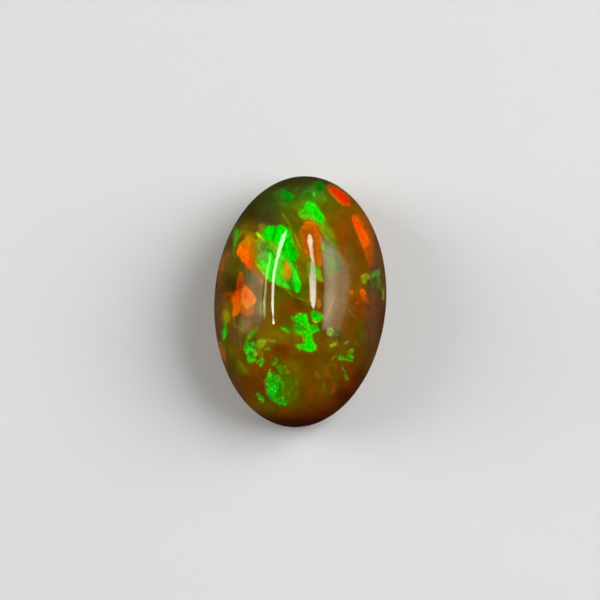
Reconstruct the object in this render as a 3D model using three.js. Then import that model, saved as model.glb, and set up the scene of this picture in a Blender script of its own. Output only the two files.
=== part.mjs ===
// An oval opal cabochon: one solid gem with a high polished dome, a rounded girdle and a flat ground base.
// Units are millimetres, +Z is up, and the long axis lies along Y. The stone rests on its base at Z = 0,
// and the origin is the middle of the base.
import * as THREE from "three";

// Driving dimensions.
const length = 12.0; // along Y, end to end
const width = 8.0; // along X, at the widest
const height = 5.0; // base to the top of the dome
const girdleHeight = 1.1; // the widest section stands this far above the base
const baseInset = 0.5; // the base's edge lies this far inside the girdle, across the stone's width
const taper = 0.015; // the +Y end is broader, and the -Y end slimmer, by this share of the width

// How finely the curved surface is cut into flat facets.
const turnSteps = 96; // around the outline
const edgeSteps = 6; // from the base's edge out to the girdle
const domeSteps = 26; // from the girdle up to the crown

// The half section as share-of-outline against height: out along the flat base, round the edge to the girdle
// on a quarter ellipse, then up the dome on another.
function halfSection() {
  const domeHeight = height - girdleHeight;
  const baseShare = 1 - baseInset / (width / 2);
  const points = [new THREE.Vector2(0, 0)];
  for (let i = 0; i <= edgeSteps; i++) {
    const turn = (Math.PI / 2) * (i / edgeSteps);
    const share = baseShare + (1 - baseShare) * Math.sin(turn);
    points.push(new THREE.Vector2(share, girdleHeight * (1 - Math.cos(turn))));
  }
  for (let i = 1; i < domeSteps; i++) {
    const turn = (Math.PI / 2) * (i / domeSteps);
    points.push(new THREE.Vector2(Math.cos(turn), girdleHeight + domeHeight * Math.sin(turn)));
  }
  points.push(new THREE.Vector2(0, height));
  return points;
}

// The half section is turned into a round body one unit in radius, stood upright, and each level is then
// stretched to the oval outline: half the width across X, half the length along Y, slimmer towards -Y.
function stoneGeometry() {
  const geometry = new THREE.LatheGeometry(halfSection(), turnSteps);
  geometry.rotateX(Math.PI / 2);
  const position = geometry.getAttribute("position");
  for (let i = 0; i < position.count; i++) {
    const across = position.getX(i);
    const along = position.getY(i);
    position.setX(i, (width / 2) * across * (1 + taper * along));
    position.setY(i, (length / 2) * along);
  }
  geometry.computeVertexNormals();
  return geometry;
}

// The stone is translucent honey-brown opal with a high polish.
const opal = new THREE.MeshStandardMaterial({ color: 0x7a4a10, roughness: 0.08, metalness: 0 });

const stone = new THREE.Mesh(stoneGeometry(), opal);
stone.name = "opal_cabochon";

const cabochon = new THREE.Group();
cabochon.add(stone);

export default cabochon;
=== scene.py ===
import math

import bpy
import numpy as np
from mathutils import Matrix, Vector


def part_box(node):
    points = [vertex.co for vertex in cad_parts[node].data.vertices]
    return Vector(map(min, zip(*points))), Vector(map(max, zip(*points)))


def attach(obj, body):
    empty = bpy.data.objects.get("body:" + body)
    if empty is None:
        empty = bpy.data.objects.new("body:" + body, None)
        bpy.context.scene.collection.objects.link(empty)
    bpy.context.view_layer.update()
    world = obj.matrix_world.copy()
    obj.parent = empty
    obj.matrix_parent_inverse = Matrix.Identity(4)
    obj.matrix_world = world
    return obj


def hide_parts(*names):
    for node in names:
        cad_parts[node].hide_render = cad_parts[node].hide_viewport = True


# An oval opal cabochon: a clear honey-brown dome over thin sheets of colour that lie just under its surface.
# The sums are in millimetres, and everything that goes into Blender is turned into metres.

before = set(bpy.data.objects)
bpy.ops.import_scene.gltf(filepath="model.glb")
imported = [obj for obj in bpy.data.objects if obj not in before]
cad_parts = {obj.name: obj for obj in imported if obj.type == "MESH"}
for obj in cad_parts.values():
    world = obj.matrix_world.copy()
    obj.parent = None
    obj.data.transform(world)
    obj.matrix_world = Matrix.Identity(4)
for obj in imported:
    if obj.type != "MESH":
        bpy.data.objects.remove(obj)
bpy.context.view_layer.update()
mm = 0.001
stoneNode = "opal_cabochon"

# The photograph's camera: where it stands, and where the stone's middle falls in its 600 x 600 frame.
photoView = {
    "frame": 600,
    "azimuth": 3.9,  # degrees round from -Y towards +X
    "elevation": 74.0,  # degrees above the surface that the stone lies on
    "distance": 156.0,  # from the stone's middle
    "pixel": 0.0462,  # what one pixel spans at the stone's middle
    "middlePixel": (300.2, 292.9),
    "middleHeight": 2.5,  # above the base
    "sensor": 36.0,
    "clipNear": 0.01,  # metres
    "clipFar": 10.0,
}


def towards(azimuth, elevation):
    # Unit vector at an azimuth and elevation in degrees: azimuth 0 is -Y, and 90 is +X.
    a, e = math.radians(azimuth), math.radians(elevation)
    return np.array([math.sin(a) * math.cos(e), -math.cos(a) * math.cos(e), math.sin(e)])


viewBack = towards(photoView["azimuth"], photoView["elevation"])
viewRight = towards(photoView["azimuth"] + 90, 0)
viewUp = np.cross(viewBack, viewRight)
frameMiddle = photoView["frame"] / 2
viewAim = np.array([0, 0, photoView["middleHeight"]])
viewAim = viewAim - viewRight * (photoView["middlePixel"][0] - frameMiddle) * photoView["pixel"]
viewAim = viewAim + viewUp * (photoView["middlePixel"][1] - frameMiddle) * photoView["pixel"]
viewEye = viewAim + viewBack * photoView["distance"]


def makeCamera():
    # Its lens is long enough for the frame's pixels to span what they should at the stone's middle.
    data = bpy.data.cameras.new("camera")
    data.sensor_width = photoView["sensor"]
    data.lens = photoView["sensor"] * photoView["distance"] / (photoView["frame"] * photoView["pixel"])
    data.clip_start = photoView["clipNear"]
    data.clip_end = photoView["clipFar"]
    camera = bpy.data.objects.new("camera", data)
    bpy.context.scene.collection.objects.link(camera)
    camera.location = Vector(viewEye * mm)
    camera.rotation_euler = Vector(-viewBack).to_track_quat("-Z", "Y").to_euler()
    bpy.context.scene.camera = camera
    print("camera: lens", round(data.lens, 1))


makeCamera()


class Wire:
    # One socket in a material's node tree. Sums on wires and numbers add Math nodes.
    def __init__(self, tree, socket):
        self.tree = tree
        self.socket = socket

    def node(self, kind, settings=None, inputs=None, output=0):
        # Any other node: its settings are set first, then its inputs are given values or wires.
        made = self.tree.nodes.new(kind)
        for name, value in (settings or {}).items():
            if name == "stops":
                fillRamp(made.color_ramp, value)
            else:
                setattr(made, name, value)
        for name, value in (inputs or {}).items():
            if isinstance(value, Wire):
                self.tree.links.new(value.socket, made.inputs[name])
            else:
                made.inputs[name].default_value = value
        return Wire(self.tree, made.outputs[output])

    def maths(self, operation, first, second=0.0):
        return self.node("ShaderNodeMath", {"operation": operation}, {0: first, 1: second})

    def __add__(self, other):
        return self.maths("ADD", self, other)

    def __radd__(self, other):
        return self.maths("ADD", other, self)

    def __sub__(self, other):
        return self.maths("SUBTRACT", self, other)

    def __rsub__(self, other):
        return self.maths("SUBTRACT", other, self)

    def __mul__(self, other):
        return self.maths("MULTIPLY", self, other)

    def __rmul__(self, other):
        return self.maths("MULTIPLY", other, self)

    def __truediv__(self, other):
        return self.maths("DIVIDE", self, other)

    def clamp(self):
        return self.node("ShaderNodeClamp", None, {"Value": self})

    def into(self, shader, name):
        self.tree.links.new(self.socket, shader.inputs[name])


def fillRamp(ramp, stops):
    # stops is a list of (place, grey or colour).
    while len(ramp.elements) > 1:
        ramp.elements.remove(ramp.elements[-1])
    for i, (place, shade) in enumerate(stops):
        element = ramp.elements[0] if i == 0 else ramp.elements.new(place)
        element.position = place
        element.color = (*shade, 1) if isinstance(shade, tuple) else (shade, shade, shade, 1)


def newMaterial(name, sockets):
    # A material with some of its shader's sockets set, the shader itself, and a wire to start from.
    material = bpy.data.materials.new(name)
    material.use_nodes = True
    shader = material.node_tree.nodes["Principled BSDF"]
    for socket, value in sockets.items():
        shader.inputs[socket].default_value = value
    return material, shader, Wire(material.node_tree, None)


def linear(colour):
    # A screen colour from 0 to 255 as linear light.
    c = np.asarray(colour, float) / 255
    return np.where(c <= 0.04045, c / 12.92, ((c + 0.055) / 1.055) ** 2.4)


def addMesh(name, points, faces):
    # A smooth object from points in millimetres.
    mesh = bpy.data.meshes.new(name)
    mesh.from_pydata((points * mm).tolist(), [], faces)
    mesh.polygons.foreach_set("use_smooth", np.ones(len(mesh.polygons), bool))
    mesh.update()
    piece = bpy.data.objects.new(name, mesh)
    bpy.context.scene.collection.objects.link(piece)
    return piece


def addColours(piece, name, colours):
    # One colour a point, with an alpha of one.
    layer = piece.data.color_attributes.new(name, "FLOAT_COLOR", "POINT")
    opaque = np.hstack([colours, np.ones((len(colours), 1))])
    layer.data.foreach_set("color", opaque.astype(np.float32).ravel())


low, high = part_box(stoneNode)
stone = {
    "halfWidth": (high.x - low.x) / 2 / mm,
    "halfLength": (high.y - low.y) / 2 / mm,
    "height": (high.z - low.z) / mm,
    "girdleHeight": 1.1,  # the widest section stands this far above the base
    "baseInset": 0.5,  # the base's edge lies this far inside the girdle
    "taper": 0.015,  # the +Y end is broader by this share, and the -Y end slimmer
    "edgeDepth": 1.5,  # the ellipsoid that gives the edge's normals, in girdle heights
    "turnSteps": 400,
    "baseSteps": 30,
    "edgeSteps": 24,
    "domeSteps": 170,
    "refraction": 1.42,
}
baseShare = 1 - stone["baseInset"] / stone["halfWidth"]
domeHeight = stone["height"] - stone["girdleHeight"]


def stoneSection(level):
    # The half section, by a level from 0 to 3: out along the flat base, round the edge to the girdle on a
    # quarter ellipse, and up the dome to the crown on another. Gives the share of the outline and the height.
    edge = np.clip(level - 1, 0, 1) * math.pi / 2
    dome = np.clip(level - 2, 0, 1) * math.pi / 2
    edgeShare = baseShare + (1 - baseShare) * np.sin(edge)
    share = np.where(level < 1, baseShare * level, np.where(level < 2, edgeShare, np.cos(dome)))
    rise = stone["girdleHeight"] * (1 - np.cos(edge)) + domeHeight * np.sin(dome)
    return share, rise


def stonePoint(turn, level):
    # The section turned by an angle round the oval outline, which is slimmer towards -Y.
    share, rise = stoneSection(level)
    along = share * np.sin(turn)
    across = share * np.cos(turn) * (1 + stone["taper"] * along)
    return np.stack([stone["halfWidth"] * across, stone["halfLength"] * along, rise], -1)


def outside(point):
    # Negative inside the stone: the point's share of the outline, less the section's share at that height.
    along = point[..., 1] / stone["halfLength"]
    across = point[..., 0] / (stone["halfWidth"] * (1 + stone["taper"] * along))
    rise = point[..., 2]
    domeShare = np.sqrt(np.clip(1 - ((rise - stone["girdleHeight"]) / domeHeight) ** 2, 0, 1))
    edgeFall = np.clip(1 - rise / stone["girdleHeight"], 0, 1)
    edgeShare = baseShare + (1 - baseShare) * np.sqrt(1 - edgeFall**2)
    share = np.where(rise > stone["girdleHeight"], domeShare, edgeShare)
    share = np.where((rise < 0) | (rise > stone["height"]), -1, share)
    return np.hypot(across, along) - share


def outward(point):
    # The surface's unit normal, from the dome's ellipsoid above the girdle and a flatter one below it.
    rise = point[..., 2] - stone["girdleHeight"]
    drop = np.where(rise > 0, domeHeight, stone["girdleHeight"] * stone["edgeDepth"])
    slope = np.stack([
        point[..., 0] / stone["halfWidth"] ** 2,
        point[..., 1] / stone["halfLength"] ** 2,
        rise / drop**2,
    ], -1)
    return slope / np.linalg.norm(slope, axis=-1, keepdims=True)


def throughPixel(x, y):
    # Unit vectors from the photograph's camera through its pixels.
    ray = -viewBack * photoView["distance"]
    ray = ray + (x - frameMiddle)[..., None] * photoView["pixel"] * viewRight
    ray = ray + (frameMiddle - y)[..., None] * photoView["pixel"] * viewUp
    return ray / np.linalg.norm(ray, axis=-1, keepdims=True)


def pixelOf(point):
    # Where the photograph's camera sees a point.
    offset = point - viewEye
    scale = photoView["distance"] / (-(offset @ viewBack)) / photoView["pixel"]
    return frameMiddle + (offset @ viewRight) * scale, frameMiddle - (offset @ viewUp) * scale


search = {
    "reach": 8,  # how far before and behind the stone's middle a ray is searched
    "steps": 65,
    "halvings": 24,
}


def meetSurface(x, y):
    # Where the rays through some pixels first meet the stone, found by halving, and the rays themselves.
    ray = throughPixel(x, y)
    steps = photoView["distance"] + np.linspace(-search["reach"], search["reach"], search["steps"])
    places = viewEye + ray[..., None, :] * steps[:, None]
    inside = outside(places) < 0
    first = np.where(inside.any(-1), inside.argmax(-1), np.argmin(outside(places), -1))
    near = steps[np.maximum(first - 1, 0)]
    far = steps[first]
    for _ in range(search["halvings"]):
        middle = (near + far) / 2
        within = outside(viewEye + ray * middle[..., None]) < 0
        far = np.where(within, middle, far)
        near = np.where(within, near, middle)
    return viewEye + ray * far[..., None], ray


def underPixel(x, y, depth):
    # The point inside the stone, at a depth under its surface, that shows at a pixel: the ray is bent at the
    # surface as light is in opal, and carried on to that depth.
    surface, ray = meetSurface(x, y)
    normal = outward(surface)
    cosine = -np.sum(ray * normal, -1, keepdims=True)
    ratio = 1 / stone["refraction"]
    bentCosine = np.sqrt(1 - ratio**2 * (1 - cosine**2))
    bent = ratio * ray + (ratio * cosine - bentCosine) * normal
    return surface + bent * depth[..., None] / bentCosine


def makeStone():
    # Rings of stonePoint from the base out and up to the crown, closed by a pole at each end.
    levels = np.concatenate([
        np.linspace(0, 1, stone["baseSteps"] + 1)[1:],
        np.linspace(1, 2, stone["edgeSteps"] + 1)[1:],
        np.linspace(2, 3, stone["domeSteps"] + 1)[1:-1],
    ])
    n, rings = stone["turnSteps"], len(levels)
    turn, level = np.meshgrid(np.arange(n) * 2 * math.pi / n, levels)
    points = np.vstack([stonePoint(turn, level).reshape(-1, 3), [0, 0, 0], [0, 0, stone["height"]]])
    points[:, 0] = np.clip(points[:, 0], -stone["halfWidth"], stone["halfWidth"])
    i = np.arange(n)
    j = (i + 1) % n
    k = np.arange(rings - 1)[:, None] * n
    sides = np.stack([k + i, k + j, k + n + j, k + n + i], -1).reshape(-1, 4)
    under = np.stack([j, i, np.full(n, n * rings)], -1)
    crown = np.stack([n * (rings - 1) + i, n * (rings - 1) + j, np.full(n, n * rings + 1)], -1)
    return addMesh("opal_stone", points, sides.tolist() + under.tolist() + crown.tolist()), points


opalStone, stonePoints = makeStone()
print("stone:", len(opalStone.data.polygons), "faces")

# The body's colours, as the eye sees them; some of them are painted shade and painted reflection.
paints = {
    # night is painted shade where it darkens the far edge and the upper left, and a dark body tone elsewhere.
    "nightAndShade": (52, 46, 4),
    "olive": (92, 90, 0),
    "moss": (58, 78, 28),
    "leaf": (82, 110, 0),
    "ochre": (132, 112, 0),
    "honey": (120, 87, 0),
    "brown": (106, 66, 0),
    "rust": (136, 73, 0),
    "ember": (117, 55, 0),
    # maroon is painted shade along the front and right rims, in a dark red-brown.
    "maroonRimShade": (46, 4, 0),
    "bark": (80, 50, 2),
    # dun is a painted reflection: the greyish veil of the mirrored windows, laid where they show in the
    # polish.
    "dunReflection": (120, 98, 42),
    # umber is a painted reflection along the left and right rims, at the grazing edge, and a body tone in a
    # few places inside them.
    "umberAndRimSheen": (84, 58, 34),
}

# Soft clouds of body colour, with painted shade and painted reflection among them: paint, middle pixel, reach
# across and down in pixels, and weight.
clouds = [
    ("nightAndShade", (300, 179), (30, 4), 4.0), ("nightAndShade", (258, 204), (14, 14), 1.8),
    ("nightAndShade", (245, 219), (7, 9), 1.6), ("dunReflection", (245, 330), (7, 5), 2.4),
    ("dunReflection", (257, 325), (5, 4), 1.4), ("olive", (243, 345), (5, 8), 2.0),
    ("dunReflection", (336, 332), (5, 5), 2.6), ("dunReflection", (250, 269), (5, 4), 1.2),
    ("ochre", (260, 231), (4, 5), 1.4), ("honey", (220, 271), (3, 8), 3.2),
    ("olive", (309, 313), (4, 5), 1.4), ("ochre", (316, 283), (3, 7), 1.2),
    ("olive", (304, 352), (6, 4), 1.6), ("olive", (228, 328), (3, 6), 1.4),
    ("leaf", (287, 225), (5, 4), 1.4), ("moss", (240, 226), (4, 4), 1.4),
    ("olive", (338, 342), (5, 5), 1.4), ("leaf", (315, 335), (4, 4), 1.4),
    ("olive", (266, 369), (3, 4), 1.2), ("honey", (313, 353), (6, 5), 1.4),
    ("olive", (282, 326), (4, 3), 1.4), ("ochre", (272, 344), (4, 4), 0.8),
    ("ochre", (297, 343), (4, 4), 1.8), ("ochre", (308, 300), (4, 5), 1.8),
    ("dunReflection", (319, 298), (3, 6), 1.4), ("leaf", (309, 270), (4, 6), 1.2),
    ("rust", (250, 287), (4, 3), 1.8), ("dunReflection", (322, 262), (3, 6), 1.4),
    ("olive", (279, 360), (4, 5), 1.4), ("rust", (358, 237), (3, 8), 1.6),
    ("dunReflection", (349, 266), (4, 15), 2.0), ("ochre", (273, 323), (4, 3), 1.0),
    ("moss", (284, 198), (8, 6), 1.2), ("moss", (316, 191), (8, 8), 1.4),
    ("moss", (272, 207), (10, 9), 2.2), ("moss", (300, 190), (13, 6), 1.8),
    ("umberAndRimSheen", (268, 222), (9, 4), 1.2), ("leaf", (297, 206), (7, 9), 2.2),
    ("olive", (292, 218), (10, 9), 1.8), ("olive", (283, 207), (6, 6), 1.2),
    ("leaf", (321, 200), (5, 8), 1.6), ("olive", (331, 205), (7, 12), 2.2),
    ("leaf", (339, 209), (4, 8), 1.0), ("honey", (331, 216), (6, 7), 1.6),
    ("brown", (345, 209), (7, 9), 1.8), ("rust", (342, 229), (5, 13), 2.6),
    ("brown", (349, 236), (5, 16), 1.8), ("brown", (354, 255), (5, 20), 2.4),
    ("honey", (357, 222), (4, 12), 1.4), ("rust", (370, 226), (5, 16), 1.4),
    ("umberAndRimSheen", (378, 244), (5, 14), 1.8), ("brown", (362, 250), (4, 16), 1.6),
    ("ochre", (246, 230), (6, 5), 2.2), ("moss", (264, 248), (4, 5), 1.4),
    ("honey", (254, 232), (6, 7), 1.8), ("brown", (250, 227), (4, 4), 1.0),
    ("umberAndRimSheen", (225, 248), (5, 18), 1.8), ("olive", (234, 261), (6, 8), 2.4),
    ("olive", (232, 270), (5, 4), 1.2), ("nightAndShade", (230, 283), (7, 9), 3.2),
    ("umberAndRimSheen", (218, 285), (4, 20), 2.0), ("rust", (229, 295), (6, 3), 1.0),
    ("honey", (225, 307), (4, 7), 2.0), ("ochre", (227, 315), (5, 6), 1.6),
    ("umberAndRimSheen", (217, 318), (4, 22), 2.4), ("brown", (221, 262), (3, 10), 1.0),
    ("rust", (258, 271), (7, 4), 1.2), ("moss", (251, 276), (6, 6), 1.6),
    ("brown", (262, 292), (6, 10), 1.4), ("ember", (269, 285), (3, 3), 1.6),
    ("dunReflection", (266, 299), (4, 13), 2.4), ("ochre", (248, 308), (5, 5), 1.0),
    ("brown", (244, 318), (8, 8), 1.8), ("umberAndRimSheen", (252, 320), (6, 6), 1.2),
    ("olive", (283, 296), (9, 8), 2.6), ("olive", (279, 305), (6, 8), 1.4),
    ("rust", (289, 308), (6, 5), 3.0), ("rust", (294, 312), (4, 3), 1.4),
    ("nightAndShade", (300, 305), (5, 4), 2.0), ("ember", (304, 308), (4, 3), 1.2),
    ("ochre", (304, 260), (5, 12), 2.4), ("leaf", (303, 282), (4, 10), 1.8),
    ("olive", (307, 290), (4, 9), 2.0), ("ochre", (298, 250), (4, 6), 1.2),
    ("brown", (319, 292), (3, 9), 1.6), ("ember", (319, 311), (4, 3), 1.4),
    ("brown", (330, 290), (10, 22), 1.4), ("honey", (340, 300), (6, 18), 1.2),
    ("honey", (358, 283), (5, 14), 1.6), ("rust", (350, 286), (4, 6), 1.2),
    ("ember", (361, 311), (7, 7), 2.4), ("rust", (354, 301), (4, 4), 2.2),
    ("dunReflection", (348, 311), (4, 6), 1.4), ("dunReflection", (319, 307), (3, 4), 1.4),
    ("nightAndShade", (287, 186), (8, 3), 2.0), ("brown", (352, 322), (6, 8), 1.8),
    ("umberAndRimSheen", (375, 306), (5, 22), 2.6), ("nightAndShade", (369, 300), (4, 10), 0.8),
    ("maroonRimShade", (381, 322), (3, 16), 1.2), ("brown", (344, 330), (8, 8), 2.4),
    ("olive", (357, 327), (5, 6), 1.4), ("olive", (362, 342), (5, 8), 1.4),
    ("umberAndRimSheen", (371, 340), (5, 18), 2.0), ("brown", (318, 336), (6, 6), 1.2),
    ("olive", (320, 325), (3, 6), 1.2), ("ochre", (271, 315), (4, 6), 1.6),
    ("ember", (281, 320), (7, 4), 2.0), ("leaf", (290, 326), (4, 4), 1.8),
    ("olive", (288, 318), (4, 4), 1.6), ("honey", (266, 329), (9, 5), 2.4),
    ("brown", (272, 325), (6, 3), 1.2), ("ochre", (274, 334), (8, 4), 1.8),
    ("ochre", (284, 337), (5, 5), 2.2), ("brown", (291, 340), (4, 4), 2.2),
    ("ochre", (299, 338), (4, 5), 1.8), ("leaf", (299, 343), (4, 3), 1.2),
    ("umberAndRimSheen", (234, 330), (6, 8), 1.8), ("umberAndRimSheen", (239, 341), (5, 6), 1.4),
    ("olive", (230, 350), (5, 9), 1.8), ("brown", (242, 352), (4, 8), 1.4),
    ("nightAndShade", (233, 368), (6, 10), 1.6), ("olive", (243, 368), (6, 6), 1.8),
    ("ochre", (266, 347), (5, 5), 1.4), ("ember", (282, 348), (8, 4), 3.4),
    ("ember", (277, 352), (4, 3), 1.2), ("brown", (292, 354), (6, 5), 1.6),
    ("honey", (272, 357), (6, 5), 1.6), ("brown", (268, 364), (5, 6), 1.6),
    ("rust", (259, 371), (7, 6), 3.4), ("ember", (259, 384), (5, 6), 1.6),
    ("brown", (253, 376), (4, 8), 1.2), ("bark", (247, 390), (8, 9), 2.2),
    ("honey", (268, 369), (3, 4), 1.0), ("ember", (263, 392), (3, 4), 1.2),
    ("leaf", (288, 380), (7, 7), 1.8), ("leaf", (290, 392), (8, 8), 2.2),
    ("olive", (284, 371), (5, 4), 1.4), ("ochre", (296, 366), (5, 4), 2.4),
    ("honey", (302, 375), (6, 5), 1.6), ("brown", (311, 367), (8, 9), 3.0),
    ("brown", (305, 358), (8, 5), 1.6), ("honey", (319, 377), (5, 5), 1.6),
    ("brown", (302, 396), (8, 8), 2.2), ("rust", (311, 393), (7, 6), 1.4),
    ("honey", (322, 392), (6, 6), 1.4), ("brown", (318, 402), (12, 7), 2.2),
    ("olive", (321, 364), (5, 6), 1.6), ("olive", (322, 386), (3, 3), 1.0),
    ("rust", (327, 373), (3, 4), 0.8), ("bark", (330, 381), (5, 5), 1.2),
    ("olive", (334, 379), (4, 5), 1.0), ("rust", (333, 389), (3, 5), 1.2),
    ("brown", (338, 370), (6, 7), 1.8), ("brown", (345, 347), (7, 4), 1.0),
    ("olive", (345, 353), (6, 4), 1.0), ("bark", (360, 345), (7, 12), 3.0),
    ("ember", (349, 369), (4, 6), 2.0), ("brown", (324, 352), (8, 6), 1.6),
    ("honey", (322, 345), (8, 5), 1.2), ("olive", (329, 357), (4, 4), 1.2),
    ("brown", (278, 412), (12, 5), 1.8), ("olive", (266, 404), (8, 5), 2.0),
    ("brown", (252, 400), (7, 7), 1.8), ("umberAndRimSheen", (234, 384), (5, 8), 1.8),
    ("umberAndRimSheen", (241, 397), (5, 6), 1.2), ("rust", (284, 412), (5, 3), 1.0),
    ("maroonRimShade", (300, 425), (50, 6), 5.0), ("maroonRimShade", (326, 416), (16, 6), 4.0),
    ("maroonRimShade", (344, 402), (12, 8), 4.0), ("maroonRimShade", (358, 386), (7, 10), 3.4),
    ("maroonRimShade", (268, 421), (18, 4), 2.6), ("ember", (350, 385), (7, 5), 1.8),
    ("ember", (330, 404), (9, 4), 1.2), ("bark", (368, 362), (6, 14), 2.4),
    ("maroonRimShade", (373, 362), (3, 14), 1.2), ("ember", (300, 415), (20, 3), 1.2),
    ("rust", (347, 250), (5, 12), 1.0),
]

# How each kind of sheet is finished: how soft and how ragged its edge is, in pixels, how many grains a pixel
# holds along and across it, how strongly they show, and how solid the sheet is.
sheetKinds = {
    "blaze": {"soft": 2.4, "ragged": 0.9, "grain": (0.09, 0.34), "facet": 0.55, "veil": 1.0},
    "crumb": {"soft": 1.5, "ragged": 1.3, "grain": (0.24, 0.34), "facet": 1.0, "veil": 1.0},
    "scaly": {"soft": 1.3, "ragged": 1.5, "grain": (0.16, 0.21), "facet": 1.1, "veil": 1.0},
    "mellow": {"soft": 3.6, "ragged": 1.0, "grain": (0.08, 0.22), "facet": 0.4, "veil": 0.9},
    "dim": {"soft": 9.0, "ragged": 2.2, "grain": (0.07, 0.22), "facet": 0.6, "veil": 0.55},
    "glow": {"soft": 5.5, "ragged": 1.2, "grain": (0.06, 0.09), "facet": 0.3, "veil": 0.7},
    "thread": {"soft": 1.2, "ragged": 0.6, "grain": (0.16, 0.5), "facet": 0.5, "veil": 0.7},
}
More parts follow.
